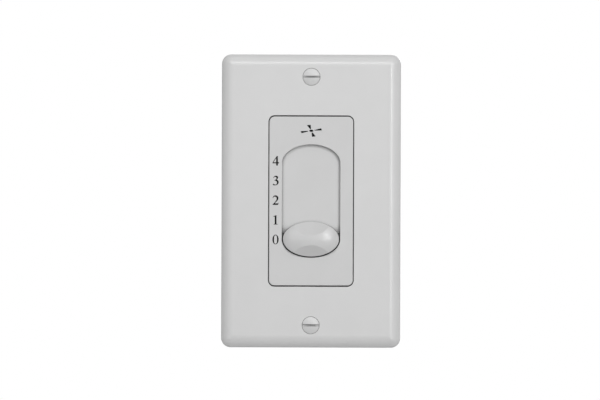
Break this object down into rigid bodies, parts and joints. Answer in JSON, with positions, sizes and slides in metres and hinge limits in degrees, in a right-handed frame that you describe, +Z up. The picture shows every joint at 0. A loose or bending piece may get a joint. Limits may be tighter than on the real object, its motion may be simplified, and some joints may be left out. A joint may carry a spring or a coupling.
{
  "type": "fan speed control switch",
  "caption": "Wall-mounted slide switch for fan speed: a white cushioned one-gang plate, a flat insert with an oval sliding knob, and a steel strap with a black housing behind it.",
  "frame": {"origin": "on the wall plane, midway between the two box screws", "axes": "+X to the right as seen from the room, +Y back into the wall along the box screws, +Z up along the knob's travel"},
  "size_m": [0.0698, 0.0442, 0.1142],
  "materials": {
    "plate_white": "smooth satin moulding",
    "insert_white": "smooth satin moulding",
    "knob_white": "smooth satin moulding",
    "screw_white": "white enamel on steel",
    "carriage_plastic": "moulded, slightly waxy",
    "wiper_bronze": "bright rolled strip",
    "spring_steel": "bright rolled strip",
    "strap_zinc": "bright zinc plate",
    "box_screw_steel": "bright zinc plate",
    "retainer_fibre": "vulcanised fibre",
    "ground_green": "green plating",
    "housing_black": "fine moulded grain",
    "board_green": "solder mask over glass laminate",
    "contact_brass": "bright stamped",
    "capacitor_yellow": "moulded box",
    "resistor_coat": "lacquered",
    "ink_black": "pad-printed ink of the numerals and the fan sign"
  },
  "bodies": {
    "switch": {"wall_plate": "plate_white", "upper_plate_screw": "screw_white", "lower_plate_screw": "screw_white", "face_bezel": "insert_white", "track_floor": "insert_white", "mounting_strap": "strap_zinc", "upper_box_screw": "box_screw_steel", "lower_box_screw": "box_screw_steel", "upper_screw_retainer": "retainer_fibre", "lower_screw_retainer": "retainer_fibre", "ground_screw": "ground_green", "rear_housing": "housing_black", "circuit_board": "board_green", "board_screws": "box_screw_steel", "speed_contact_0": "contact_brass", "speed_contact_1": "contact_brass", "speed_contact_2": "contact_brass", "speed_contact_3": "contact_brass", "speed_contact_4": "contact_brass", "common_rail": "contact_brass", "large_capacitor": "capacitor_yellow", "middle_capacitor": "capacitor_yellow", "small_capacitor": "capacitor_yellow", "left_bleed_resistor": "resistor_coat", "right_bleed_resistor": "resistor_coat"},
    "slider": {"slide_knob": "knob_white", "slide_carriage": "carriage_plastic", "wiper_contact": "wiper_bronze", "detent_spring": "spring_steel"}
  },
  "joints": [
    {"name": "knob_slide", "type": "slide", "parent": "switch", "child": "slider", "axis": [0, 0, 1], "range_m": [0, 0.0296]}
  ]
}
